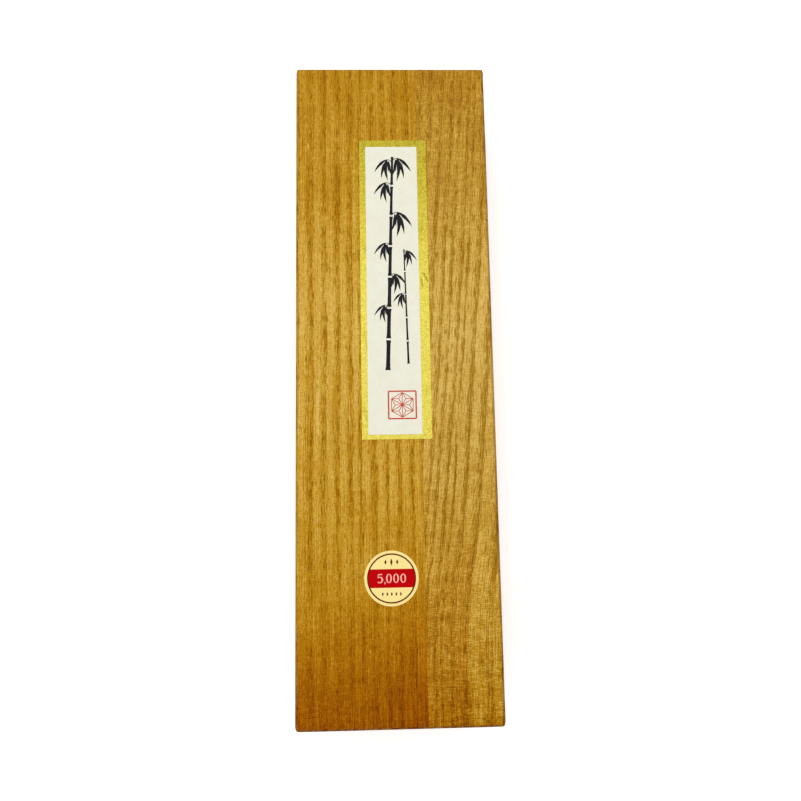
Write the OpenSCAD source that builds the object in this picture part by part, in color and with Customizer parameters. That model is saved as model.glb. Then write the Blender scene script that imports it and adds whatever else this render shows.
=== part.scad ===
// Boxed ink stick: a moulded stick of ink in a fitted bed, inside a stained wooden box.
// The box has finger-jointed corners held by wooden pegs, and a lift-off board lid on two battens.
// X is the width, Y the length with the head end at +Y, and Z is up.
// The origin is at the middle of the underside. All sizes are in millimetres.

/* [Box] */
// Outside length of the box
box_l = 200; // [175:1:260]
// Outside width of the box
box_w = 59.5; // [54:0.5:90]
// Thickness of the side and end walls
wall_t = 5; // [4:0.5:7]
// Height of the walls, from the floor board to the lid
wall_h = 19; // [18:0.5:30]
// Thickness of the floor board
floor_t = 5; // [4:0.5:8]
// Radius of the box's upright corners
corner_r = 1.7; // [0.6:0.1:2.5]
// Radius of the lid's top edges
edge_r = 1.3; // [0.6:0.1:2.5]
// Radius of the floor board's bottom edges
foot_r = 0.8; // [0.4:0.1:2]
// Eased edge round the top of the walls and round the underside of the lid
arris = 0.4; // [0.2:0.1:0.8]
// Number of fingers in each corner joint
finger_n = 3; // [3:2:7]

/* [Pegs] */
// Diameter of the wooden pegs
peg_d = 1.6; // [1:0.1:2]
// Depth that a wall peg or floor peg goes into the second piece
peg_bite = 7; // [4:0.5:9]
// Depth that a batten peg goes into the lid
lid_bite = 3.5; // [2:0.5:4]
// Gap all round a peg in its hole
peg_gap = 0.02; // [0.01:0.01:0.05]
// Number of floor pegs along each side wall
floor_peg_n = 4; // [2:1:8]
// Distance from the box's ends to the first floor peg
floor_peg_inset = 22; // [16:1:40]

/* [Lid] */
// Thickness of the lid boards
lid_t = 6; // [5:0.5:9]
// Width of the wide lid board, from the left edge to the glue line
wide_board_w = 37.5; // [25:0.5:45]
// Width of the battens under the lid, along the box
batten_w = 10; // [6:0.5:16]
// Thickness of the battens
batten_t = 4; // [3:0.5:6]
// Chamfer on the battens' lower edges
batten_chamfer = 0.8; // [0.2:0.1:1.5]
// Gap between the battens and the walls
batten_gap = 0.3; // [0.2:0.05:0.6]

/* [Ink stick] */
// Length of the stick
stick_l = 140; // [110:1:150]
// Width of the stick
stick_w = 34; // [26:0.5:36]
// Thickness of the stick
stick_t = 13; // [10:0.5:15]
// Radius of the stick's upright corners
stick_corner_r = 2.5; // [1.5:0.1:5]
// Radius of the stick's long and short edges
stick_edge_r = 1.2; // [0.5:0.1:1.5]
// Width of the raised rim round the sunk panels
rim_w = 2.8; // [2:0.1:5]
// Depth of the sunk panel on the front and on the back
panel_depth = 0.6; // [0.3:0.1:1.5]
// Radius of the sunk panels' corners
panel_r = 1.5; // [0.5:0.1:3]

/* [Bed] */
// Gap between the stick and the bed strips
stick_gap = 0.4; // [0.3:0.05:0.8]
// Height of the bed strips above the floor board
bed_h = 10; // [7:0.5:11]
// Length of the gap for finger and thumb between the side strips
finger_gap_l = 24; // [18:1:40]
// Radius of the side strips' corners at the finger gap
finger_gap_r = 3; // [1:0.5:4]

/* [Label] */
// Width of the gold backing paper
backing_w = 20.8; // [16:0.1:30]
// Length of the gold backing paper
backing_l = 93.6; // [70:0.1:110]
// Middle of the gold backing paper, across the lid
backing_x = 0.3; // [-6:0.1:6]
// Middle of the gold backing paper, along the lid
backing_y = 28.7; // [0:0.1:36]
// Gold border left of the label sheet
border_left = 1.9; // [1:0.1:5]
// Gold border right of the label sheet
border_right = 2.9; // [1:0.1:5]
// Gold border above the label sheet
border_head = 2.2; // [1:0.1:5]
// Gold border below the label sheet
border_foot = 1.4; // [1:0.1:5]
// Thickness of each label paper
paper_t = 0.15; // [0.1:0.01:0.3]

/* [Sticker] */
// Diameter of the round sticker
sticker_d = 15.7; // [10:0.1:20]
// Middle of the sticker, across the lid
sticker_x = -2; // [-15:0.1:15]
// Middle of the sticker, along the lid
sticker_y = -58.2; // [-80:0.1:-40]
// Thickness of the sticker
sticker_t = 0.12; // [0.08:0.01:0.3]

/* [Hidden] */
$fn = 64;
// Overshoot of a cut past the face it starts from
cut = 1;

inner_l = box_l - 2 * wall_t;
inner_w = box_w - 2 * wall_t;
lid_z = floor_t + wall_h;
lid_top_z = lid_z + lid_t;
finger_h = wall_h / finger_n;
seam_x = wide_board_w - box_w / 2;

batten_l = inner_w - 2 * batten_gap;
batten_y = inner_l / 2 - batten_gap - batten_w / 2;

bay_l = stick_l + 2 * stick_gap;
bay_w = stick_w + 2 * stick_gap;
bed_block_l = (inner_l - bay_l) / 2;
bed_rail_w = (inner_w - bay_w) / 2;
bed_rail_l = (bay_l - finger_gap_l) / 2;

sheet_w = backing_w - border_left - border_right;
sheet_l = backing_l - border_head - border_foot;
sheet_x = backing_x + (border_left - border_right) / 2;
sheet_y = backing_y + (border_foot - border_head) / 2;

// The fingers of a corner, counted upwards: even ones belong to the side wall, odd ones to the end wall
side_fingers = [for (i = [0:2:finger_n - 1]) i];
end_fingers = [for (i = [1:2:finger_n - 1]) i];

// Point at a given share of the way from a to b
function part_way(a, b, share) = a + (b - a) * share;

// Places of the floor pegs along a side wall, evenly spread
floor_peg_end = box_l / 2 - floor_peg_inset;
floor_peg_ys = [
    for (i = [0:floor_peg_n - 1]) part_way(-floor_peg_end, floor_peg_end, i / (floor_peg_n - 1))
];

// Places of the pegs across a batten: two in the wide board and one in the narrow board
batten_peg_xs = [
    part_way(-inner_w / 2, seam_x, 1 / 4),
    part_way(-inner_w / 2, seam_x, 3 / 4),
    part_way(seam_x, inner_w / 2, 1 / 2)
];

stained_wood = "peru";
raw_wood = "burlywood";
peg_wood = "wheat";

// Shared shapes

// Rectangle with rounded corners, centred
module rounded_rectangle(w, l, r) {
    square([w - 2 * r, l], center = true);
    square([w, l - 2 * r], center = true);
    for (x = [-1, 1], y = [-1, 1])
        translate([x * (w / 2 - r), y * (l / 2 - r)]) circle(r);
}

// Section of a board that stands on y = 0, with its two upper corners rounded and its lower corners eased
module rounded_top_section(w, t, r, ease) {
    translate([-w / 2, ease]) square([w, t - r - ease]);
    translate([r - w / 2, ease]) square([w - 2 * r, t - ease]);
    for (x = [-1, 1]) translate([x * (w / 2 - r), t - r]) circle(r);
    if (ease > 0) polygon([[-w / 2, ease], [ease - w / 2, 0], [w / 2 - ease, 0], [w / 2, ease]]);
}

// Board that stands on z = 0, with rounded upright corners and top edges, and eased bottom edges
module rounded_board(w, l, t, upright_r, top_r, ease = 0) {
    intersection() {
        linear_extrude(t) rounded_rectangle(w, l, upright_r);
        rotate([90, 0, 0]) translate([0, 0, -l]) linear_extrude(2 * l) rounded_top_section(w, t, top_r, ease);
        rotate([90, 0, 90]) translate([0, 0, -w]) linear_extrude(2 * w) rounded_top_section(l, t, top_r, ease);
    }
}

// Peg that starts at the origin and runs along +Z, or its hole when gap is given
module peg(length, gap = 0) {
    overshoot = gap > 0 ? cut : 0;
    translate([0, 0, -overshoot]) cylinder(d = peg_d + 2 * gap, h = length + gap + overshoot);
}

// Pegs through the corner fingers, each driven from outside, square to the wall it goes through
module corner_peg_set(gap = 0) {
    for (x = [-1, 1], y = [-1, 1]) {
        for (i = side_fingers)
            translate([x * box_w / 2, y * (box_l - wall_t) / 2, floor_t + (i + 0.5) * finger_h])
                rotate([0, -90 * x, 0]) peg(wall_t + peg_bite, gap);
        for (i = end_fingers)
            translate([x * (box_w - wall_t) / 2, y * box_l / 2, floor_t + (i + 0.5) * finger_h])
                rotate([90 * y, 0, 0]) peg(wall_t + peg_bite, gap);
    }
}

// Pegs up through the floor board: a row into each side wall and one into each end wall
module floor_peg_set(gap = 0) {
    for (x = [-1, 1], y = floor_peg_ys)
        translate([x * (box_w - wall_t) / 2, y, 0]) peg(floor_t + peg_bite, gap);
    for (y = [-1, 1])
        translate([0, y * (box_l - wall_t) / 2, 0]) peg(floor_t + peg_bite, gap);
}

// Pegs up through the battens, which stop inside the lid boards
module batten_peg_set(gap = 0) {
    for (x = batten_peg_xs, y = [-1, 1])
        translate([x, y * batten_y, lid_z - batten_t]) peg(batten_t + lid_bite, gap);
}

// Section across the walls' outside, standing on y = 0, with its upper corners eased
module wall_section(w) {
    polygon([
        [-w / 2, 0],
        [w / 2, 0],
        [w / 2, wall_h - arris],
        [w / 2 - arris, wall_h],
        [arris - w / 2, wall_h],
        [-w / 2, wall_h - arris]
    ]);
}

// The four walls' outside, as one upright block with rounded corners and an eased top
module wall_block() {
    translate([0, 0, floor_t])
        intersection() {
            linear_extrude(wall_h) rounded_rectangle(box_w, box_l, corner_r);
            rotate([90, 0, 0]) translate([0, 0, -box_l]) linear_extrude(2 * box_l) wall_section(box_w);
            rotate([90, 0, 90]) translate([0, 0, -box_w]) linear_extrude(2 * box_w) wall_section(box_l);
        }
}

// Space that the given fingers take up at the four corners of the box
module finger_spaces(fingers) {
    for (x = [-1, 1], y = [-1, 1], i = fingers)
        translate([
            x > 0 ? box_w / 2 - wall_t : -box_w / 2 - cut,
            y > 0 ? box_l / 2 - wall_t : -box_l / 2 - cut,
            floor_t + i * finger_h
        ])
            cube([wall_t + cut, wall_t + cut, finger_h]);
}

// Box base

module floor_board() {
    color(stained_wood)
        difference() {
            translate([0, 0, floor_t]) mirror([0, 0, 1]) rounded_board(box_w, box_l, floor_t, corner_r, foot_r);
            floor_peg_set(peg_gap);
        }
}

module side_wall(side) {
    color(stained_wood)
        difference() {
            intersection() {
                wall_block();
                translate([side * (box_w - wall_t) / 2, 0, floor_t + wall_h / 2])
                    cube([wall_t, box_l, wall_h], center = true);
            }
            finger_spaces(end_fingers);
            corner_peg_set(peg_gap);
            floor_peg_set(peg_gap);
        }
}

module end_wall(end) {
    color(stained_wood)
        difference() {
            intersection() {
                wall_block();
                translate([0, end * (box_l - wall_t) / 2, floor_t + wall_h / 2])
                    cube([box_w, wall_t, wall_h], center = true);
            }
            finger_spaces(side_fingers);
            corner_peg_set(peg_gap);
            floor_peg_set(peg_gap);
        }
}

module corner_pegs() {
    color(peg_wood) corner_peg_set();
}

module floor_pegs() {
    color(peg_wood) floor_peg_set();
}

// Bed for the stick

// Block that fills the box between an end wall and the stick
module bed_block(end) {
    color(raw_wood)
        translate([-inner_w / 2, end > 0 ? bay_l / 2 : -inner_l / 2, floor_t])
            cube([inner_w, bed_block_l, bed_h]);
}

// Outline of a side strip, with the corner beside the finger gap and the stick rounded off
module bed_rail_outline() {
    square([bed_rail_w, bed_rail_l - finger_gap_r]);
    translate([finger_gap_r, 0]) square([bed_rail_w - finger_gap_r, bed_rail_l]);
    translate([finger_gap_r, bed_rail_l - finger_gap_r]) circle(finger_gap_r);
}

// Strip between a side wall and the stick, on one side of the finger gap
module bed_rail(side, end) {
    color(raw_wood)
        mirror([side > 0 ? 0 : 1, 0, 0])
            mirror([0, end > 0 ? 1 : 0, 0])
                translate([bay_w / 2, -bay_l / 2, floor_t])
                    linear_extrude(bed_h) bed_rail_outline();
}

// Ink stick

// Section of the stick, centred, with rounded edges
module stick_section(w) {
    rounded_rectangle(w, stick_t, stick_edge_r);
}

module ink_stick() {
    color([0.09, 0.09, 0.1])
        translate([0, 0, floor_t + stick_t / 2])
            difference() {
                intersection() {
                    translate([0, 0, -stick_t]) linear_extrude(2 * stick_t)
                        rounded_rectangle(stick_w, stick_l, stick_corner_r);
                    rotate([90, 0, 0]) translate([0, 0, -stick_l]) linear_extrude(2 * stick_l)
                        stick_section(stick_w);
                    rotate([90, 0, 90]) translate([0, 0, -stick_w]) linear_extrude(2 * stick_w)
                        stick_section(stick_l);
                }
                for (face = [0, 1])
                    mirror([0, 0, face])
                        translate([0, 0, stick_t / 2 - panel_depth])
                            linear_extrude(panel_depth + cut)
                                rounded_rectangle(stick_w - 2 * rim_w, stick_l - 2 * rim_w, panel_r);
            }
}

// Lid

// Both lid boards as one rounded slab, with the batten peg holes
module lid_slab() {
    difference() {
        translate([0, 0, lid_z]) rounded_board(box_w, box_l, lid_t, corner_r, edge_r, arris);
        batten_peg_set(peg_gap);
    }
}

// Block over the part of the lid between two places across it
module lid_span(from_x, to_x) {
    translate([from_x, -box_l / 2 - cut, lid_z]) cube([to_x - from_x, box_l + 2 * cut, lid_t + cut]);
}

module lid_board_wide() {
    color(stained_wood)
        intersection() {
            lid_slab();
            lid_span(-box_w / 2 - cut, seam_x);
        }
}

module lid_board_narrow() {
    color(stained_wood)
        intersection() {
            lid_slab();
            lid_span(seam_x, box_w / 2 + cut);
        }
}

// Batten glued across the lid's underside, just inside an end wall
module lid_batten(end) {
    color(raw_wood)
        difference() {
            translate([0, end * batten_y, lid_z])
                rotate([90, 0, 90]) translate([0, 0, -batten_l / 2])
                    linear_extrude(batten_l)
                        polygon([
                            [-batten_w / 2, 0],
                            [batten_w / 2, 0],
                            [batten_w / 2, batten_chamfer - batten_t],
                            [batten_w / 2 - batten_chamfer, -batten_t],
                            [batten_chamfer - batten_w / 2, -batten_t],
                            [-batten_w / 2, batten_chamfer - batten_t]
                        ]);
            batten_peg_set(peg_gap);
        }
}

module batten_pegs() {
    color(peg_wood) batten_peg_set();
}

module label_backing() {
    color("gold")
        translate([backing_x - backing_w / 2, backing_y - backing_l / 2, lid_top_z])
            cube([backing_w, backing_l, paper_t]);
}

module label_sheet() {
    color("ivory")
        translate([sheet_x - sheet_w / 2, sheet_y - sheet_l / 2, lid_top_z + paper_t])
            cube([sheet_w, sheet_l, paper_t]);
}

module price_sticker() {
    color("moccasin")
        translate([sticker_x, sticker_y, lid_top_z]) cylinder(d = sticker_d, h = sticker_t);
}

floor_board();
side_wall(-1);  // side_wall_left
side_wall(1);  // side_wall_right
end_wall(1);  // end_wall_head
end_wall(-1);  // end_wall_foot
corner_pegs();
floor_pegs();
bed_block(1);  // bed_block_head
bed_block(-1);  // bed_block_foot
bed_rail(-1, 1);  // bed_rail_left_head
bed_rail(-1, -1);  // bed_rail_left_foot
bed_rail(1, 1);  // bed_rail_right_head
bed_rail(1, -1);  // bed_rail_right_foot
ink_stick();
lid_board_wide();
lid_board_narrow();
lid_batten(1);  // lid_batten_head
lid_batten(-1);  // lid_batten_foot
batten_pegs();
label_backing();
label_sheet();
price_sticker();
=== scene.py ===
import math

import bpy
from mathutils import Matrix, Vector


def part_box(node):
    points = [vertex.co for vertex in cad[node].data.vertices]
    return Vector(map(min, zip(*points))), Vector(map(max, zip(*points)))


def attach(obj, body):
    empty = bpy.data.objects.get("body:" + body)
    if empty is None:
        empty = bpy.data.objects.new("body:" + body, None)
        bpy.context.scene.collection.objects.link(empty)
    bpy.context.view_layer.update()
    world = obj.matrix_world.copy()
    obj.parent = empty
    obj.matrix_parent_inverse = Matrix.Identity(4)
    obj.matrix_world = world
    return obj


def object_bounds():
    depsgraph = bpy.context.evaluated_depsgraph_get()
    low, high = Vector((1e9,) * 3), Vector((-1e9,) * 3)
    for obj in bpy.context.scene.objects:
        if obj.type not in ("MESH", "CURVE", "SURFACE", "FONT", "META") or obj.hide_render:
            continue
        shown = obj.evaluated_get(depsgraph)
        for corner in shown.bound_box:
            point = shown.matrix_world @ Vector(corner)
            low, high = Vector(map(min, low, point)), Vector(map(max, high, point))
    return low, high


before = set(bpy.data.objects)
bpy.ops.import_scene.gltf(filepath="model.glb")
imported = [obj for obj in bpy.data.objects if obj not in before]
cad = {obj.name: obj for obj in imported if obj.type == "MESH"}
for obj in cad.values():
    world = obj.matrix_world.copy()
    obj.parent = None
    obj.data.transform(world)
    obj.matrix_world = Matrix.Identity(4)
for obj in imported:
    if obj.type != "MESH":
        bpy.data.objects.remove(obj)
cad_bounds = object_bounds()

# Floor board: one plank of ring-porous wood, planed flat, with its lower edges eased.
# It is stained amber outside and left bare inside. The four walls stand on it, pegged to it from below.
MM_PER_M = 1000


def srgb(code):
    """Linear colour of a colour that is written as a hex code."""
    levels = [int(code[i:i + 2], 16) / 255 for i in (0, 2, 4)]
    linear = [level / 12.92 if level <= 0.04045 else ((level + 0.055) / 1.055) ** 2.4 for level in levels]
    return (*linear, 1)


class Nodes:
    """Shader nodes that are built up step by step. Most methods add nodes and give their output."""

    def __init__(self, tree):
        self.tree = tree

    def join(self, value, socket):
        """Links an output to a socket, or sets the socket to a plain value."""
        if isinstance(value, bpy.types.NodeSocket):
            self.tree.links.new(value, socket)
        else:
            socket.default_value = value

    def add(self, kind, inputs, output=0, **settings):
        """One output of a new node with these inputs and settings."""
        node = self.tree.nodes.new("ShaderNode" + kind)
        for key, value in settings.items():
            setattr(node, key, value)
        for key, value in inputs.items():
            self.join(value, node.inputs[key])
        return node.outputs[output]

    def point(self, turn=(0, 0, 0), shift=(0, 0, 0)):
        """Place on the piece in millimetres, turned by degrees about X, Y and Z and then shifted."""
        place = self.add("TexCoord", {}, output="Object")
        turned = tuple(math.radians(angle) for angle in turn)
        size = (MM_PER_M, MM_PER_M, MM_PER_M)
        return self.add("Mapping", {"Vector": place, "Location": shift, "Rotation": turned, "Scale": size})

    def split(self, point):
        """X, Y and Z of a point."""
        return self.add("SeparateXYZ", {0: point}).node.outputs

    def math(self, operation, *values):
        return self.add("Math", dict(enumerate(values)), operation=operation)

    def total(self, start, *terms):
        """Start plus the sum of weight times value."""
        result = start
        for weight, value in terms:
            result = self.math("MULTIPLY_ADD", value, weight, result)
        return result

    def ease(self, value, start, end, low=0.0, high=1.0):
        """Smooth change from low to high as value goes from start to end."""
        inputs = {"Value": value, "From Min": start, "From Max": end, "To Min": low, "To Max": high}
        return self.add("MapRange", inputs, interpolation_type="SMOOTHSTEP")

    def noise(self, point, size, detail=2.0, roughness=0.5):
        """Random variation round 0.5, with features of the given size in millimetres along X, Y and Z."""
        cells = self.add("VectorMath", {0: point, 1: size}, operation="DIVIDE")
        return self.add("TexNoise", {"Vector": cells, "Scale": 1, "Detail": detail, "Roughness": roughness})

    def ramp(self, value, stops):
        """Colour or level that follows a value through stops of (position, colour or level)."""
        stops = [
            (place, shade if isinstance(shade, tuple) else (shade, shade, shade, 1))
            for place, shade in stops
        ]
        output = self.add("ValToRGB", {"Fac": value})
        elements = output.node.color_ramp.elements
        elements[0].position, elements[0].color = stops[0]
        elements[-1].position, elements[-1].color = stops[-1]
        for place, shade in stops[1:-1]:
            elements.new(place).color = shade
        return output

    def mix(self, share, a, b, blend="MIX"):
        """Colour a, changed by a share towards its blend with colour b."""
        return self.add("Mix", {0: share, 6: a, 7: b}, output=2, data_type="RGBA", blend_type=blend)


class Finish(Nodes):
    """A surface finish that is built up from shader nodes."""

    def __init__(self, name):
        self.material = bpy.data.materials.new(name)
        self.material.use_nodes = True
        super().__init__(self.material.node_tree)
        self.shader = self.tree.nodes["Principled BSDF"]

    def bump(self, height, depth_mm):
        """Roughens the surface by a height that goes from 0 to 1 over a depth in millimetres."""
        inputs = {"Height": height, "Distance": depth_mm / MM_PER_M, "Strength": 1}
        self.join(self.add("Bump", inputs), self.shader.inputs["Normal"])

    def surface(self, **values):
        """Sets the shader's inputs, with underscores for the spaces in their names."""
        for key, value in values.items():
            self.join(value, self.shader.inputs[key.replace("_", " ")])


broad_early_wood = [(0, 0.45), (0.06, 0.1), (0.35, 0), (0.6, 0.6), (0.78, 1), (1, 0.9)]


def grain(
    finish, point, rings, early_wood=broad_early_wood, clarity=1.0, contrast=0.2, openness=0.0,
    coarseness=1.0,
):
    """How much paler or darker than its mean a sawn board is at a point, where Y runs along the grain, and
    where its open pores are. rings are the places in mm across the board where a year's growth ends.
    early_wood is how dark and porous a ring is through its width, clarity and contrast are how plainly that
    shows, openness is how readily pores show elsewhere, and coarseness is the size of pores and fibres."""
    x, _, z = finish.split(point)
    sway = finish.noise(point, (14, 60, 14), detail=1)
    wander = finish.noise(point, (2.5, 14, 2.5))
    ragged = finish.noise(point, (0.9, 2.6, 0.9), detail=1)
    across = finish.total(-1.9, (1, x), (0.35, z), (1.3, sway), (0.5, wander), (0.7, ragged))
    span = rings[-1]
    place = finish.math("FRACT", finish.math("DIVIDE", across, span))
    step = 0.05
    stops = [(0, 0)]
    for ring in rings[:-1]:
        stops += [(ring / span, 1), ((ring + step) / span, 0)]
    stops.append((1, 1))
    growth = finish.ramp(place, stops)
    early = finish.ramp(growth, early_wood)
    blotches = finish.ease(finish.noise(point, (1.8, 22, 1.8), detail=3), 0.34, 0.62, 0.6, 1.1)
    early = finish.math("MULTIPLY", finish.math("MULTIPLY", early, blotches), clarity)
    fine = 0.3 * coarseness
    vessels = finish.noise(point, (fine, 4, fine), detail=1)
    pores = finish.ease(finish.total(vessels, (0.18, early)), 0.63 - openness, 0.75 - openness)
    streaks = finish.noise(point, (fine, 22, fine), detail=2)
    fibres = finish.noise(point, (fine, 1.5, fine), detail=1)
    tooth = finish.noise(point, (0.35, 0.4, 0.35), detail=1)
    strength = 0.7 / math.sqrt(coarseness)
    # Noise is 0.5 on average, so the first term takes the mean of the three noises away.
    figure = finish.total(
        -0.9 * strength - 0.25,
        (-contrast, early), (strength, streaks), (0.8 * strength, fibres), (0.5, tooth),
    )
    return figure, pores


def inside_box(finish):
    """1 on the faces inside the closed box, 0 on the outside."""
    skin = 0.03
    x, y, z = finish.split(finish.point())
    inner_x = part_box("side_wall_right")[0].x * MM_PER_M
    inner_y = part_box("end_wall_head")[0].y * MM_PER_M
    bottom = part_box("floor_board")[1].z * MM_PER_M
    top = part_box("lid_board_wide")[0].z * MM_PER_M
    sides = finish.math("MINIMUM", finish.math("SUBTRACT", inner_x, finish.math("ABSOLUTE", x)),
                        finish.math("SUBTRACT", inner_y, finish.math("ABSOLUTE", y)))
    ends = finish.math("MINIMUM", finish.math("SUBTRACT", z, bottom), finish.math("SUBTRACT", top, z))
    return finish.math("GREATER_THAN", finish.math("MINIMUM", sides, ends), -skin)


def wood_colour(finish, level, pores, redness, haze=0.0):
    """Colour of stained wood outside the box and of bare wood inside it, from dark at level 0 to pale at 1.
    The open pores hold more of the stain, redness is how thick it lies, and haze is how far it has
    faded."""
    stain = [(0, "723c00"), (0.17, "884e00"), (0.34, "9d6502"), (0.48, "ab7506"), (0.6, "b88310"),
             (0.72, "c59628"), (0.86, "d4aa46"), (1, "e4bf62")]
    bare = [(0, "a87c4a"), (0.35, "c79f68"), (0.7, "dcbd88"), (1, "ecd7ac")]
    stained, pale = ([(place, srgb(code)) for place, code in tones] for tones in (stain, bare))
    inside = inside_box(finish)
    stained = finish.mix(redness, finish.ramp(level, stained), (1, 0.7, 0.4, 1), blend="MULTIPLY")
    colour = finish.mix(inside, stained, finish.ramp(level, pale))
    faded = finish.mix(haze, colour, srgb("d6bc7c"))
    return finish.mix(pores, faded, finish.mix(inside, srgb("d2c272"), srgb("d2b898")), blend="MULTIPLY")


def dress(node, finish):
    """Puts a finish on a CAD piece."""
    cad[node].data.materials.clear()
    cad[node].data.materials.append(finish.material)


def end_grain(finish, along):
    """1 where a face cuts across the grain, which runs along the given direction."""
    normal = finish.add("TexCoord", {}, output="Normal")
    facing = finish.add("VectorMath", {0: normal, 1: along}, output="Value", operation="DOT_PRODUCT")
    return finish.ease(finish.math("ABSOLUTE", facing), 0.3, 0.85)


def knocked(finish, edge):
    """How much of the stain is knocked off, in patches, where edge is 1, and none where it is 0."""
    patches = finish.noise(finish.point(), (2.2, 3.2, 2.2), detail=4, roughness=0.65)
    return finish.math("MULTIPLY", edge, finish.ease(patches, 0.4, 0.66, 0, 0.7))


def outer_edges(finish):
    """1 along the box's four upright corners and round the edge of its underside, 0 elsewhere."""
    corner_reach, corner_core = 1.3, 0.5
    rim_reach, rim_core = 0.9, 0.3
    x, y, z = finish.split(finish.point())
    from_side = finish.math("SUBTRACT", cad_bounds[1].x * MM_PER_M, finish.math("ABSOLUTE", x))
    from_end = finish.math("SUBTRACT", cad_bounds[1].y * MM_PER_M, finish.math("ABSOLUTE", y))
    corner = finish.math("MULTIPLY", finish.ease(from_side, corner_reach, corner_core),
                         finish.ease(from_end, corner_reach, corner_core))
    from_edge = finish.math("MINIMUM", from_side, from_end)
    rim = finish.math("MULTIPLY", finish.ease(from_edge, rim_reach, rim_core),
                      finish.ease(z, rim_reach, rim_core))
    return finish.math("MAXIMUM", corner, rim)


worn_wood = "bb9450"
plain_rings = [2.6, 6.1, 10.4, 13.6, 17.9, 21.2, 25.4, 28.3, 32.8, 36]


def board(node, turn, shift, along, tone):
    """Finish of a plain board. turn brings its grain to Y and its width to X, shift picks its place in the
    tree, along is the grain's direction in the box, and tone is the mean level of its colour."""
    finish = Finish(node + "_wood")
    point = finish.point(turn, shift)
    figure, pores = grain(finish, point, plain_rings)
    clouds = finish.noise(point, (18, 70, 18))
    level = finish.total(tone - 0.15, (1, figure), (0.3, clouds), (-0.25, end_grain(finish, along)))
    worn = knocked(finish, outer_edges(finish))
    finish.surface(
        Base_Color=finish.mix(worn, wood_colour(finish, level, pores, redness=0.3), srgb(worn_wood)),
        Roughness=finish.total(0.5, (0.2, pores)),
        Specular_IOR_Level=0.02,
    )
    finish.bump(finish.total(figure, (-0.5, pores)), depth_mm=0.08)
    dress(node, finish)


GRAIN_ALONG_X = (1, 0, 0)
GRAIN_ALONG_Y = (0, 1, 0)
board("floor_board", turn=(0, 0, 0), shift=(7, 0, 3), along=GRAIN_ALONG_Y, tone=0.6)

# Side and end walls: thin boards of the same wood on edge, with fingers cut in their ends that lock at the
# corners. Their grain runs along each wall, so the cut ends of the fingers show end grain.
board("side_wall_left", turn=(0, 90, 0), shift=(4, 31, 0), along=GRAIN_ALONG_Y, tone=0.6)
board("side_wall_right", turn=(0, 90, 0), shift=(15, -54, 9), along=GRAIN_ALONG_Y, tone=0.6)
board("end_wall_head", turn=(90, 0, 90), shift=(9, 12, 40), along=GRAIN_ALONG_X, tone=0.6)
board("end_wall_foot", turn=(90, 0, 90), shift=(22, 77, 17), along=GRAIN_ALONG_X, tone=0.6)

# Pegs: split from hard pale wood, shaved round, glued into their holes and cut off flush.
# Only their ends show, as dots at the corners, under the floor and under the battens.
peg_finish = Finish("peg_end_grain")
peg_point = peg_finish.point()
peg_dots = peg_finish.ease(peg_finish.noise(peg_point, (0.16, 0.16, 0.16), detail=1), 0.45, 0.65)
peg_tint = peg_finish.noise(peg_point, (6, 6, 6))
peg_tone = peg_finish.mix(peg_tint, srgb("a87428"), srgb("c8983f"))
peg_finish.surface(
    Base_Color=peg_finish.mix(peg_dots, peg_tone, srgb("6b4418")),
    Roughness=0.6,
    Specular_IOR_Level=0.02,
)
peg_finish.bump(peg_dots, depth_mm=0.02)
for peg_group in ("corner_pegs", "floor_pegs", "batten_pegs"):
    dress(peg_group, peg_finish)

# Bed: blocks at the head and foot and strips along the sides, of bare pale wood glued to the floor board.
# They leave a bay that fits the stick, with a gap each side for finger and thumb.
board("bed_block_head", turn=(0, 0, 90), shift=(3, 8, 2), along=GRAIN_ALONG_X, tone=0.7)
board("bed_block_foot", turn=(0, 0, 90), shift=(14, 61, 5), along=GRAIN_ALONG_X, tone=0.7)
board("bed_rail_left_head", turn=(0, 0, 0), shift=(6, 20, 1), along=GRAIN_ALONG_Y, tone=0.75)
board("bed_rail_left_foot", turn=(0, 0, 0), shift=(6, 20, 1), along=GRAIN_ALONG_Y, tone=0.75)
board("bed_rail_right_head", turn=(0, 0, 0), shift=(19, -35, 4), along=GRAIN_ALONG_Y, tone=0.7)
board("bed_rail_right_foot", turn=(0, 0, 0), shift=(19, -35, 4), along=GRAIN_ALONG_Y, tone=0.7)

# Ink stick: soot and animal glue, kneaded to a dough, pressed in a carved pear-wood mould, dried and
# burnished. It is black with a faint blue sheen, and keeps the fine lines of the mould's wood along it.
ink = Finish("ink")
ink_point = ink.point()
ink_clouds = ink.noise(ink_point, (9, 14, 9))
ink_speckle = ink.noise(ink_point, (0.35, 0.35, 0.35), detail=3, roughness=0.7)
ink_lines = ink.noise(ink_point, (0.4, 9, 0.4), detail=2)
ink_rubs = ink.ease(ink.noise(ink_point, (3, 22, 3), detail=3, roughness=0.65), 0.55, 0.7)
ink.surface(
    Base_Color=ink.mix(ink_clouds, srgb("09090c"), srgb("18181d")),
    Roughness=ink.total(0.26, (0.22, ink_clouds), (0.18, ink_rubs), (0.12, ink_speckle)),
    Specular_IOR_Level=0.28,
)
ink.bump(ink.total(ink_speckle, (1.2, ink_lines)), depth_mm=0.035)
dress("ink_stick", ink)

# Bamboo on the stick's front: carved in the mould, so that it stands up from the sunk panel, and brushed
# with gold. Each joint of stem and each leaf is one swelling stroke, cut flat where it meets the panel.
panel_depth = 0.6
stick_low, stick_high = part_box("ink_stick")


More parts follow.
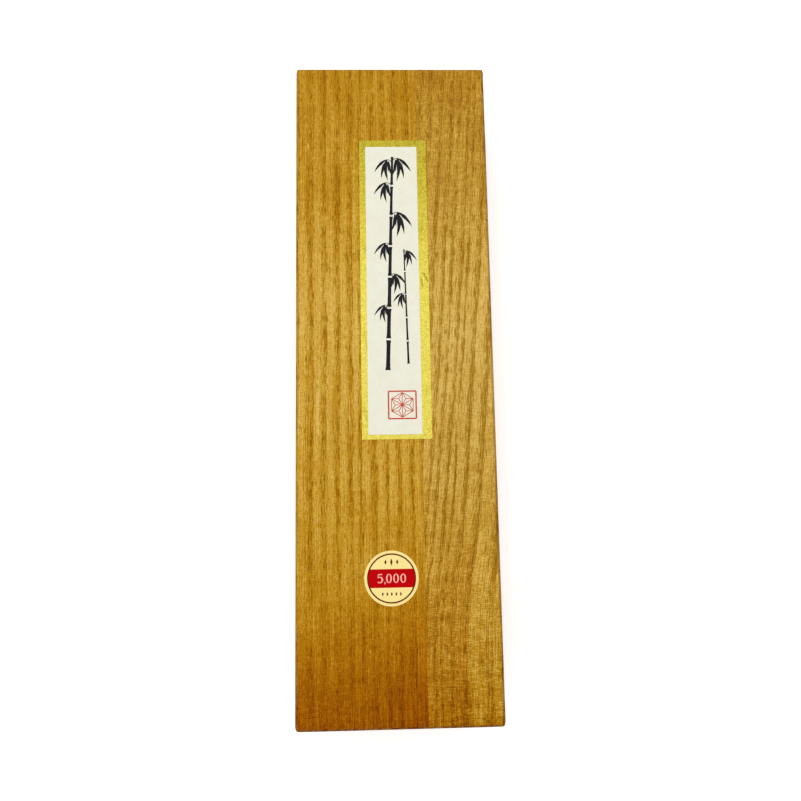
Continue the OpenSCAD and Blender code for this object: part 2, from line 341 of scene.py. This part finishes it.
def strokes(name, lines, rise, place, closed=False, downward=False):
    """One mesh of strokes that lie on a level face at place, in metres. A line is a list of (x, y, half
    width) in mm from that place, and rise is a stroke's height as a share of its half width. Strokes on a
    face that looks down are turned over about the Y axis."""
    bpy.ops.object.select_all(action="DESELECT")
    bpy.ops.curve.primitive_bezier_curve_add()
    piece = bpy.context.object
    piece.name = name
    curve = piece.data
    curve.splines.clear()
    curve.bevel_depth = 1
    curve.bevel_resolution = 2
    curve.resolution_u = 6
    curve.use_fill_caps = True
    for line in lines:
        spline = curve.splines.new("BEZIER")
        spline.bezier_points.add(len(line) - 1)
        spline.use_cyclic_u = closed
        for knot, (x, y, half_width) in zip(spline.bezier_points, line):
            knot.co = (x, y, 0)
            knot.radius = half_width
            knot.handle_left_type = "AUTO"
            knot.handle_right_type = "AUTO"
    bpy.ops.object.convert(target="MESH")
    # Each stroke is a round tube, which is cut in half at the face and then flattened to its rise.
    bpy.ops.object.mode_set(mode="EDIT")
    bpy.ops.mesh.select_all(action="SELECT")
    bpy.ops.mesh.bisect(plane_co=(0, 0, 0), plane_no=(0, 0, 1), clear_inner=True, use_fill=True)
    bpy.ops.object.mode_set(mode="OBJECT")
    piece.scale = (1 / MM_PER_M, 1 / MM_PER_M, rise / MM_PER_M)
    piece.rotation_euler.y = math.pi if downward else 0
    piece.location = place
    bpy.ops.object.transform_apply(location=True, rotation=True, scale=True)
    bpy.ops.object.shade_smooth_by_angle(angle=math.radians(40))
    return piece


def line(start, end, half_width):
    """Straight stroke of even width."""
    return [(*start, half_width), (*end, half_width)]


def border(half_x, half_y, half_width, middle=(0, 0)):
    """Strokes of a rectangle."""
    corners = [
        (middle[0] + x * half_x, middle[1] + y * half_y) for x, y in ((-1, -1), (1, -1), (1, 1), (-1, 1))
    ]
    return [line(here, after, half_width) for here, after in zip(corners, corners[1:] + corners[:1])]


def stem(foot, top, half_width, joints):
    """Strokes for a bamboo stem between two points, one for each length between its joints."""
    gap = 0.03 / joints
    lines = []
    for joint in range(joints):
        start = joint / joints + gap
        end = (joint + 1) / joints - gap
        stroke = []
        for share, swell in ((0, 1.15), (0.12, 0.9), (0.5, 0.85), (0.88, 0.9), (1, 1.15)):
            t = start + (end - start) * share
            x = foot[0] + (top[0] - foot[0]) * t
            y = foot[1] + (top[1] - foot[1]) * t
            stroke.append((x, y, half_width * swell * (1 - 0.45 * t)))
        lines.append(stroke)
    return lines


def leaf(x, y, heading, length, half_width):
    """Stroke for a bamboo leaf. Its heading is in degrees from straight down, towards the right."""
    droop = 16
    stroke = []
    for share, swell in ((0, 0.12), (0.14, 0.6), (0.36, 1), (0.7, 0.6), (1, 0.03)):
        angle = math.radians(heading - math.copysign(droop * share, heading))
        reach = length * share
        stroke.append((x + reach * math.sin(angle), y - reach * math.cos(angle), half_width * swell))
    return stroke


def twig(x, y, side, reach, leaf_length, leaf_half):
    """Strokes for a twig that leaves a stem towards one side, and for the leaves that hang from it."""
    tip_x, tip_y = x + side * reach, y + 0.45 * reach
    half = 0.14 * leaf_half
    bow = (x + 0.5 * side * reach, y + 0.38 * reach, half * 1.2)
    lines = [[(x, y, half * 1.6), bow, (tip_x, tip_y, half)]]
    for share, heading, size in ((0.55, 4, 0.75), (0.8, 34, 0.9), (1, 12, 1), (1, 58, 0.8), (1, -24, 0.6)):
        leaf_x = x + side * reach * share
        leaf_y = y + 0.45 * reach * share
        lines.append(leaf(leaf_x, leaf_y, side * heading, leaf_length * size, leaf_half * size))
    return lines


def bamboo(size, shift):
    """Strokes for two bamboo stems with their leaves. They are shifted along Y on a sheet 16 mm wide, and
    are then made size times as large."""
    leaf_slimness = 0.085
    twigs = [
        (0.4, 40.5, 1, 1.7, 7.6),
        (0.3, 40, -1, 1.8, 7),
        (0.05, 32.4, -1, 2, 6.6),
        (-0.3, 22.7, 1, 2.2, 8),
        (-0.6, 13.1, -1, 1.7, 6.2),
        (-0.9, 3.4, 1, 1.6, 6.4),
        (3.6, 11, 1, 0.9, 5.4),
        (3.9, -2.6, -1, 1.3, 5),
        (-1.2, -6.4, -1, 1.6, 5.6),
    ]
    lines = stem(foot=(-1.9, -26), top=(0.4, 42), half_width=0.72, joints=7)
    lines += stem(foot=(4.3, -24), top=(3.5, 12), half_width=0.36, joints=5)
    for x, y, side, reach, leaf_length in twigs:
        lines += twig(x, y, side, reach, leaf_length, leaf_slimness * leaf_length)
    return [[(size * x, size * (y + shift), size * half) for x, y, half in line] for line in lines]


gold_paint = Finish("gold_paint")
gold_point = gold_paint.point()
gold_patches = gold_paint.noise(gold_point, (1.2, 1.8, 1.2), detail=4, roughness=0.65)
gold_wear = gold_paint.ease(gold_patches, 0.56, 0.66)
gold_paint.surface(
    Base_Color=gold_paint.mix(gold_wear, srgb("d9a93f"), srgb("2a2622")),
    Metallic=gold_paint.total(0.9, (-0.8, gold_wear)),
    Roughness=gold_paint.total(0.32, (0.2, gold_wear)),
)
gold_paint.bump(gold_paint.noise(gold_point, (0.3, 0.3, 0.3)), depth_mm=0.03)
panel_border = border(half_x=12.7, half_y=65.7, half_width=0.32)
stick_bamboo = strokes(
    "stick_bamboo",
    panel_border + bamboo(size=1.6, shift=-7),
    rise=0.4,
    place=(0, 0, stick_high.z - panel_depth / MM_PER_M),
)
stick_bamboo.data.materials.append(gold_paint.material)
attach(stick_bamboo, "stick")

# Hemp-leaf figures on the stick's back: three in a row in a plain border, carved in the other half of the
# mould. They are of one piece with the stick, of the same ink, and are left black.


def hemp_leaf(middle, radius, half_width):
    """Strokes of the six-pointed hemp-leaf figure: a hexagon, its spokes, and a fold in each triangle."""
    corners = []
    for corner in range(6):
        angle = math.radians(60 * corner + 30)
        corners.append((middle[0] + radius * math.cos(angle), middle[1] + radius * math.sin(angle)))
    lines = []
    for here, after in zip(corners, corners[1:] + corners[:1]):
        fold = ((middle[0] + here[0] + after[0]) / 3, (middle[1] + here[1] + after[1]) / 3)
        lines += [line(middle, here, half_width), line(here, after, half_width)]
        lines += [line(fold, tip, half_width) for tip in (middle, here, after)]
    return lines


back_figures = [hemp_leaf((0, y), radius=11.5, half_width=0.4) for y in (-27, 0, 27)]
stick_hemp_leaves = strokes(
    "stick_hemp_leaves",
    panel_border + sum(back_figures, []),
    rise=0.8,
    place=(0, 0, stick_low.z + panel_depth / MM_PER_M),
    downward=True,
)
stick_hemp_leaves.data.materials.append(ink.material)
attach(stick_hemp_leaves, "stick")

# Lid: two boards of the same wood glued edge to edge, with rounded edges, stained amber.
# The wide board is straight-grained; the narrow board has slanting grain and a rippled figure across it.
lid_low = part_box("lid_board_wide")[0]
lid_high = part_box("lid_board_narrow")[1]


def mark(finish, x, y, length, width, angle):
    """1 in the middle of a mark on the lid's top, 0 outside it. The marks are scratches and scuffs on the
    wood, and painted shade of creases in the label's gold paper. Its middle and sizes are in mm, and its
    angle from the X axis is in degrees."""
    middle = (x, y, lid_high.z * MM_PER_M)
    inputs = {"Vector": finish.point(), "Center": middle, "Angle": -math.radians(angle)}
    turned = finish.add("VectorRotate", inputs, rotation_type="Z_AXIS")
    offset = finish.add("VectorMath", {0: turned, 1: middle}, operation="SUBTRACT")
    share = finish.add("VectorMath", {0: offset, 1: (length / 2, width / 2, 1)}, operation="DIVIDE")
    return finish.ease(finish.add("VectorMath", {0: share}, output="Value", operation="LENGTH"), 1, 0.2)


def lid_board(
    node, rings, early_wood, contrast, openness, coarseness, start, bend, tones, clarity, zones, marks,
    redness, haze, curl,
):
    """Finish of a lid board, with rings, early_wood, contrast, openness and coarseness as for its grain.
    Places across it are in mm from start, along the bent run of its grain, where bend is how far that has
    moved sideways. bend, tones (mean level of colour, partly the stain's own and partly painted light,
    brightest near the middle and darker towards both ends), clarity, redness, haze and curl (folds across
    the grain) are given along it, as (place in mm along Y, amount). zones are strips towards the foot where
    the stain lies thicker or thinner, as (left, right, change), and marks are scratches, as (x, y, length,
    width, angle, change)."""
    foot_from, foot_full = -35, -65
    stain_per_level = 2.5
    finish = Finish(node + "_wood")
    left, top = lid_low.x * MM_PER_M, lid_high.z * MM_PER_M
    length = (lid_high.y - lid_low.y) * MM_PER_M
    x, y, z = finish.split(finish.point())
    along = finish.math("DIVIDE", finish.math("ADD", y, length / 2), length)

    def change_along(stops):
        """Amount that follows the given stops along the board."""
        most = max(amount for place, amount in stops)
        ramp = finish.ramp(along, [(0.5 + place / length, amount / most) for place, amount in stops])
        return finish.math("MULTIPLY", ramp, most)

    across = finish.math("SUBTRACT", finish.math("SUBTRACT", x, start), change_along(bend))
    point = finish.add("CombineXYZ", {0: across, 1: y, 2: finish.math("SUBTRACT", z, top)})
    ring_clarity = change_along(clarity)
    figure, pores = grain(finish, point, rings, early_wood, ring_clarity, contrast, openness, coarseness)
    clouds = finish.noise(point, (5, 16, 5))
    # Folds across the grain show as ripples on the top, and much less down the sides.
    ripples = finish.noise(point, (4, 0.6, 4), detail=2, roughness=0.6)
    creases = finish.ease(finish.math("ABSOLUTE", finish.math("SUBTRACT", ripples, 0.5)), 0.12, 0)
    waves = finish.noise(point, (12, 3.6, 12), detail=1)
    mesh = finish.noise(point, (1.2, 0.3, 1.2), detail=1)
    folding = finish.total(-0.45, (-0.3, creases), (0.5, waves), (0.6, mesh))
    folding = finish.math("MULTIPLY", folding, finish.ease(z, top - 2.5, top - 0.5, 0.2, 1))
    cut_end = end_grain(finish, GRAIN_ALONG_Y)
    thickness = finish.math("MULTIPLY", change_along(redness), finish.total(1, (-0.6, cut_end)))
    # The tones along the board are partly the stain's own and partly painted light, darker towards both
    # ends.
    level = finish.total(-0.3, (1, change_along(tones)), (1, figure), (0.3, clouds),
                         (1, finish.math("MULTIPLY", folding, change_along(curl))), (-0.25, cut_end))
    # Towards the foot end the wood is rubbed pale in streaks, and the stain differs from strip to strip.
    foot = finish.ease(y, foot_from, foot_full)
    rubbed = finish.ease(finish.noise(point, (0.6, 11, 0.6)), 0.56, 0.7)
    level = finish.total(level, (0.14, finish.math("MULTIPLY", rubbed, foot)))
    for zone_left, zone_right, change in zones:
        within = finish.math("MULTIPLY", finish.ease(across, zone_left - 0.6, zone_left + 0.6),
                             finish.ease(across, zone_right + 0.3, zone_right - 0.3))
        within = finish.math("MULTIPLY", within, foot)
        level = finish.total(level, (change, within))
        thickness = finish.total(thickness, (-stain_per_level * change, within))
    # Stain is knocked off all round the top edge. Painted shade darkens the edge at the right and at the
    # foot end, where it turns away from the light.
    edge = finish.math("MINIMUM", finish.math("SUBTRACT", -left, finish.math("ABSOLUTE", x)),
                       finish.math("SUBTRACT", length / 2, finish.math("ABSOLUTE", y)))
    rim = finish.ease(z, top - 1.5, top - 0.7)
    worn = knocked(finish, finish.math("MULTIPLY", finish.ease(edge, 1.2, 0.2), rim))
    # Painted shade on the rounded top edge, at the right and at the foot end.
    from_shaded_edges = finish.math("MINIMUM", finish.math("SUBTRACT", -left, x), finish.math("ADD", length / 2, y))
    painted_edge_shade = finish.math("MULTIPLY", finish.ease(from_shaded_edges, 1.1, 0.2), rim)
    level = finish.total(level, (-0.4, painted_edge_shade))
    for place_x, place_y, size, width, angle, change in marks:
        level = finish.total(level, (change, mark(finish, place_x, place_y, size, width, angle)))
    colour = wood_colour(finish, level, pores, thickness, change_along(haze))
    finish.surface(
        Base_Color=finish.mix(worn, colour, srgb(worn_wood)),
        Roughness=finish.total(0.5, (0.2, pores)),
        Specular_IOR_Level=0.02,
    )
    finish.bump(finish.total(figure, (-0.5, pores)), depth_mm=0.08)
    dress(node, finish)


lid_board(
    "lid_board_wide",
    rings=[4.5, 8.4, 12.5, 16.4, 19.2, 23.2, 26.7, 30.3, 34.2, 38],
    early_wood=broad_early_wood,
    contrast=0.17,
    openness=0,
    coarseness=1,
    start=-29.75,
    bend=[(-100, 0), (100, 0.5)],
    tones=[
        (-100, 0.47), (-88, 0.57), (-72, 0.74), (-56, 0.84), (-24, 0.95), (24, 1.04), (60, 0.86),
        (100, 0.78),
    ],
    clarity=[(-100, 0.5), (-60, 0.5), (-40, 0.8), (-20, 1), (30, 1), (60, 0.8), (100, 0.65)],
    zones=[(26, 38, -0.04)],
    marks=[
        (-25.5, -71.2, 7, 0.35, 6, 0.14),
        (-24.6, -58, 4, 0.35, -6, 0.16),
        (-10.6, -82.3, 3.2, 0.35, 98, 0.25),
        (-8.4, -78.4, 1.4, 0.5, 60, 0.4),
        (-25.9, -79.5, 1.6, 0.45, 82, 0.35),
        (-25.4, -95.9, 5.5, 0.35, 4, -0.3),
        (-5.6, 92.8, 3.4, 0.8, 95, 0.18),
        (-25.9, 73.7, 3, 0.7, 85, 0.25),
        (-23.6, 66.5, 0.6, 0.3, 20, -0.5),
    ],
    redness=[(-100, 0.85), (-56, 0)],
    haze=[(-100, 0), (100, 0.02)],
    curl=[(-100, 0.3), (-50, 0.15), (100, 0.15)],
)
lid_board(
    "lid_board_narrow",
    rings=[4.5, 7.3, 10.8, 14, 16.5, 19.3, 21.2, 24.6, 28.8, 35.5, 40],
    early_wood=[(0, 0.6), (0.06, 0.15), (0.2, 0), (0.45, 0.1), (0.65, 0.6), (0.85, 1), (1, 1)],
    contrast=0.11,
    openness=0.045,
    coarseness=0.8,
    start=-9.75,
    bend=[
        (-100, 0), (-85, 0.15), (-72, 0.5), (-60, 1.6), (-50, 3.2), (-30, 5.4), (0, 8.3), (60, 13),
        (100, 15.5),
    ],
    tones=[(-100, 0.66), (-88, 0.76), (-72, 0.86), (-40, 0.93), (24, 1.09), (60, 0.87), (100, 0.76)],
    clarity=[(-100, 0.65), (-72, 0.6), (-55, 0.85), (-35, 1.2), (40, 1.2), (60, 0.8), (100, 0.7)],
    zones=[(8, 26, -0.05), (26, 28.8, -0.1), (28.8, 41, 0.07)],
    marks=[(24.3, -21, 0.9, 0.5, 50, 0.35)],
    redness=[(-100, 0.35), (-85, 0.1), (-72, 0)],
    haze=[(-100, 0), (-60, 0.05), (0, 0.2), (60, 0.12), (100, 0.06)],
    curl=[(-100, 0.8), (-40, 0.5), (40, 0.4), (100, 0.5)],
)

# Battens: strips of bare wood, glued and pegged across the underside of the lid, with their lower edges
# chamfered. They keep the lid flat and drop between the walls, so that the lid can't slide off.
board("lid_batten_head", turn=(0, 0, 90), shift=(5, 44, 8), along=GRAIN_ALONG_X, tone=0.7)
board("lid_batten_foot", turn=(0, 0, 90), shift=(28, -17, 8), along=GRAIN_ALONG_X, tone=0.7)

# Label backing: metallic gold paper, pasted on the lid and left showing as a border round the white sheet.
# It has a painted reflection, duller towards its head end, and scuffs and a fine granular tooth.
gold_paper = Finish("gold_paper")
gold_paper_point = gold_paper.point()
gold_grain = gold_paper.noise(gold_paper_point, (0.3, 0.4, 0.3), detail=2, roughness=0.6)
gold_scuffs = gold_paper.ease(gold_paper.noise(gold_paper_point, (2.5, 6, 2.5), detail=3), 0.55, 0.75)
gold_y = gold_paper.split(gold_paper_point)[1]
# Painted reflection: the gold is darker towards its head end.
gold_painted_reflection = gold_paper.ease(gold_y, 78, 20, 0.22, 0.6)
gold_level = gold_paper.total(-0.65, (1, gold_painted_reflection), (1.4, gold_grain), (-0.2, gold_scuffs))
# Painted shade of small creases near the gold paper's edge, which is left flat, as (x, y, length, width,
# angle).
gold_crease_shades = [
    (8.6, 29.7, 5.4, 0.9, 100), (9.9, 31, 4, 1.1, 115), (9.3, 32.4, 2, 0.7, 0), (7.2, 74.9, 2.6, 0.6, 92),
]
for crease_shade in gold_crease_shades:
    gold_level = gold_paper.total(gold_level, (-0.5, mark(gold_paper, *crease_shade)))
gold_stops = [(0, "968712"), (0.35, "bfad28"), (0.65, "dfcf4c"), (1, "f4ea86")]
gold_paper.surface(
    Base_Color=gold_paper.ramp(gold_level, [(place, srgb(code)) for place, code in gold_stops]),
    Metallic=0.3,
    Roughness=gold_paper.total(0.4, (0.2, gold_grain)),
    Specular_IOR_Level=0.2,
)
gold_paper.bump(gold_grain, depth_mm=0.03)
dress("label_backing", gold_paper)

# Label sheet: white handmade paper of long plant fibres, which show as faint streaks and clouds.
# It is cut smaller than the gold backing and pasted on it, nearer its left and lower edges.
washi = Finish("washi")
washi_point = washi.point()
washi_clouds = washi.noise(washi_point, (3.5, 3.5, 3.5), detail=4, roughness=0.6)
washi_fibres = washi.noise(washi_point, (0.25, 1.6, 0.25), detail=3)
washi_tone = washi.mix(washi_clouds, srgb("e8e5d2"), srgb("f6f4e2"))
washi_tone = washi.mix(washi.ease(washi_fibres, 0.55, 0.75, 0, 0.25), washi_tone, srgb("c9c4b2"))
washi.surface(Base_Color=washi_tone, Roughness=0.85, Specular_IOR_Level=0.1)
washi.bump(washi_fibres, depth_mm=0.02)
dress("label_sheet", washi)

# Drawing on the label: a bamboo in black brush ink, paler and darker where the ink has pooled.
# The ink is a thin film that stands a hair above the paper.
sheet_low, sheet_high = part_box("label_sheet")
sheet_middle = (sheet_low + sheet_high) / 2
sheet_middle.z = sheet_high.z
label_bamboo = strokes("label_bamboo", bamboo(size=1, shift=0), rise=0.03, place=sheet_middle)
brush_ink = Finish("brush_ink")
brush_ink_pool = brush_ink.noise(brush_ink.point(), (1.2, 2.5, 1.2), detail=3)
brush_ink.surface(
    Base_Color=brush_ink.mix(brush_ink_pool, srgb("08080a"), srgb("28282c")),
    Roughness=brush_ink.total(0.55, (0.2, brush_ink_pool)),
    Specular_IOR_Level=0.1,
)
label_bamboo.data.materials.append(brush_ink.material)
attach(label_bamboo, "lid")

# Seal on the label: a square of hemp-leaf lattice, stamped in red paste below the drawing.
# The paste is a thin film too, and patchy where the stamp took less of it.
seal_middle = (2.2, -36.2)
seal_half = 4.1
seal_line = 0.11
lattice_radius = 3.7
seal_border = border(seal_half, seal_half, 2 * seal_line, seal_middle)
label_seal = strokes(
    "label_seal",
    seal_border + hemp_leaf(seal_middle, lattice_radius, seal_line),
    rise=0.1,
    place=sheet_middle,
)
seal_paste = Finish("seal_paste")
seal_patches = seal_paste.noise(seal_paste.point(), (0.5, 0.5, 0.5), detail=3)
seal_paste.surface(
    Base_Color=seal_paste.mix(seal_patches, srgb("b8321f"), srgb("d85a44")),
    Roughness=0.6,
    Specular_IOR_Level=0.1,
)
label_seal.data.materials.append(seal_paste.material)
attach(label_seal, "lid")

# Round sticker: a disc of coated cream paper, stuck on the lid towards its foot end.
# All its print is modelled as films a few hundredths of a millimetre thick.
sticker_low, sticker_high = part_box("price_sticker")
sticker_middle = (sticker_low + sticker_high) / 2
sticker_middle.z = sticker_high.z
cream = Finish("sticker_paper")
cream_clouds = cream.noise(cream.point(), (2, 2, 2), detail=3)
cream.surface(
    Base_Color=cream.mix(cream_clouds, srgb("fbe286"), srgb("ffeca2")),
    Roughness=0.45,
    Specular_IOR_Level=0.2,
)
dress("price_sticker", cream)

# Band on the sticker: a broad strip printed straight across it in red ink.
# It starts as a disc as wide as the ring, and is cut off straight above and below.
ring_radius = 6.85
band_half = 2.7
film = 0.02 / MM_PER_M


def print_colour(name, code, other_code):
    """Finish of flat printing ink, slightly uneven."""
    finish = Finish(name)
    unevenness = finish.noise(finish.point(), (0.8, 0.8, 0.8), detail=3)
    finish.surface(
        Base_Color=finish.mix(unevenness, srgb(code), srgb(other_code)),
        Roughness=0.4,
        Specular_IOR_Level=0.02,
    )
    return finish.material


bpy.ops.object.select_all(action="DESELECT")
bpy.ops.mesh.primitive_circle_add(
    vertices=96,
    radius=ring_radius / MM_PER_M,
    fill_type="NGON",
    location=sticker_middle,
)
sticker_band = bpy.context.object
sticker_band.name = "sticker_band"
bpy.ops.object.transform_apply(location=True)
bpy.ops.object.mode_set(mode="EDIT")
for side in (-1, 1):
    bpy.ops.mesh.select_all(action="SELECT")
    cut = (sticker_middle.x, sticker_middle.y + side * band_half / MM_PER_M, sticker_middle.z)
    bpy.ops.mesh.bisect(plane_co=cut, plane_no=(0, side, 0), clear_outer=True)
bpy.ops.mesh.select_all(action="SELECT")
bpy.ops.mesh.extrude_region_move(TRANSFORM_OT_translate={"value": (0, 0, film)})
bpy.ops.mesh.select_all(action="SELECT")
bpy.ops.mesh.normals_make_consistent(inside=False)
bpy.ops.object.mode_set(mode="OBJECT")
sticker_band.data.materials.append(print_colour("band_red", "bd0006", "c4060e"))
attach(sticker_band, "lid")

# Ring and grains on the sticker: a thin ring near its edge, and rice-grain marks above and below the band.
# They are printed in one dark red ink.
ring_knots = 16
ring_half_width = 0.21
ring_line = []
for knot in range(ring_knots):
    angle = math.tau * knot / ring_knots
    ring_line.append((ring_radius * math.cos(angle), ring_radius * math.sin(angle), ring_half_width))
sticker_ring = strokes("sticker_ring", [ring_line], rise=0.2, place=sticker_middle, closed=True)
dark_red = print_colour("ring_red", "5c1404", "6c1c06")
sticker_ring.data.materials.append(dark_red)
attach(sticker_ring, "lid")


def rice_grain(x, y, half_height, half_width):
    """Upright stroke, pointed at both ends."""
    point = 0.02
    return [(x, y - half_height, point), (x, y, half_width), (x, y + half_height, point)]


upper_y, lower_y = 4.6, -4.4
lower_spacing = 1.3
upper_grains = [rice_grain(x, upper_y, half, 0.34) for x, half in ((-1.7, 0.7), (0, 1.1), (1.7, 0.7))]
lower_grains = [rice_grain(lower_spacing * i, lower_y, 0.6, 0.28) for i in range(-2, 3)]
sticker_grains = strokes("sticker_grains", upper_grains + lower_grains, rise=0.08, place=sticker_middle)
sticker_grains.data.materials.append(dark_red)
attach(sticker_grains, "lid")

# Number on the sticker: a plain round number, printed over the band in pale pink.
# Its figures are drawn in strokes of changing width, as a broad pen makes them.


def nought(x):
    """Stroke of an upright 0."""
    half_width, half_height = 0.62, 1.2
    knots = 8
    oval = []
    for i in range(knots + 1):
        angle = math.tau * i / knots
        thickness = 0.07 + 0.13 * abs(math.cos(angle))
        oval.append((x + half_width * math.cos(angle), half_height * math.sin(angle), thickness))
    return oval


def five(x):
    """Strokes of a 5: its top bar, its thin stem and its bowl."""
    bar = [(x - 0.5, 1.12, 0.14), (x + 0.6, 1.17, 0.14)]
    upright = [(x - 0.52, 1.12, 0.09), (x - 0.6, 0.15, 0.08)]
    bowl = [(x - 0.6, 0.15, 0.08), (x - 0.08, 0.4, 0.11), (x + 0.5, 0.08, 0.2), (x + 0.58, -0.6, 0.23),
            (x + 0.12, -1.15, 0.14), (x - 0.42, -1.15, 0.09), (x - 0.66, -0.9, 0.15)]
    return [bar, upright, bowl]


comma = [(-1.95, -1.05, 0.2), (-1.9, -1.4, 0.12), (-2.1, -1.7, 0.03)]
band_top = sticker_middle.copy()
band_top.z += film
sticker_number = strokes(
    "sticker_number",
    five(-3.3) + [comma] + [nought(x) for x in (-0.75, 1.3, 3.35)],
    rise=0.08,
    place=band_top,
)
sticker_number.data.materials.append(print_colour("number_pink", "ffb9a6", "ffc8b6"))
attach(sticker_number, "lid")

# Table: a plain white floor that takes the box's soft shadow.
# It glows a little for the camera and in reflections, without lighting the box more.


def seen(nodes):
    """1 for rays from the camera and for those that show the surroundings in a shine, 0 for light."""
    path = nodes.add("LightPath", {}).node.outputs
    shine = nodes.math("MAXIMUM", path["Is Glossy Ray"], path["Is Transmission Ray"])
    return nodes.math("MAXIMUM", path["Is Camera Ray"], shine)


table_size = 6
table_glow = 0.45
bpy.ops.object.select_all(action="DESELECT")
bpy.ops.mesh.primitive_plane_add(size=table_size)
table = bpy.context.object
table.name = "table"
table_finish = Finish("table_white")
table_finish.surface(
    Base_Color=(0.85, 0.85, 0.85, 1),
    Roughness=0.9,
    Emission_Color=(1, 1, 1, 1),
    Emission_Strength=table_finish.math("MULTIPLY", seen(table_finish), table_glow),
)
table.data.materials.append(table_finish.material)

# Sky: a pale dome that lights the box, and is brighter overhead than at the horizon.
# To the camera and in reflections it is white all over.
sky = bpy.data.worlds.new("sky")
sky.use_nodes = True
bpy.context.scene.world = sky
background = sky.node_tree.nodes["Background"]
background.inputs["Color"].default_value = (1, 1, 1, 1)
sky_nodes = Nodes(sky.node_tree)
upward = sky_nodes.split(sky_nodes.add("TexCoord", {}, output="Generated"))[2]
sky_light = sky_nodes.ease(upward, -0.1, 1, 0.25, 0.9)
lack = sky_nodes.total(1, (-1, sky_light))
sky_nodes.join(sky_nodes.total(sky_light, (lack, seen(sky_nodes))), background.inputs["Strength"])

# Lamps: a broad soft lamp high at the left, towards the head end, and a weaker one lower at the right.
# They are weak enough for a colour to show about as it is written.
lid_middle = (lid_low + lid_high) / 2
lid_middle.z = lid_high.z


def lamp(name, place, size, power):
    """Square soft lamp that faces the middle of the lid."""
    bpy.ops.object.light_add(type="AREA", location=place)
    light = bpy.context.object
    light.name = name
    light.data.size = size
    light.data.energy = power
    aim = lid_middle - light.location
    light.rotation_euler = aim.to_track_quat("-Z", "Y").to_euler()


lamp("key_lamp", place=(-0.25, 0.3, 0.75), size=0.5, power=2.0)
lamp("fill_lamp", place=(0.5, -0.4, 0.45), size=0.4, power=0.3)

# Camera: held above the box, a little towards the foot end, looking almost straight down at the lid.
# Its place, turn and focal length are those that the lid's four corners in the photo give.
camera_place_mm = (-4.92, -34.46, 239.54)
camera_turn_deg = (7.61, -1.615, -0.997)
frame_px = 801
focal_px = 710.1
sensor_mm = 36
bpy.ops.object.camera_add(
    location=[value / MM_PER_M for value in camera_place_mm],
    rotation=[math.radians(angle) for angle in camera_turn_deg],
)
camera = bpy.context.object
camera.data.sensor_width = sensor_mm
camera.data.lens = focal_px * sensor_mm / frame_px
camera.data.clip_start = 0.01
bpy.context.scene.camera = camera
bpy.context.scene.view_settings.view_transform = "Standard"
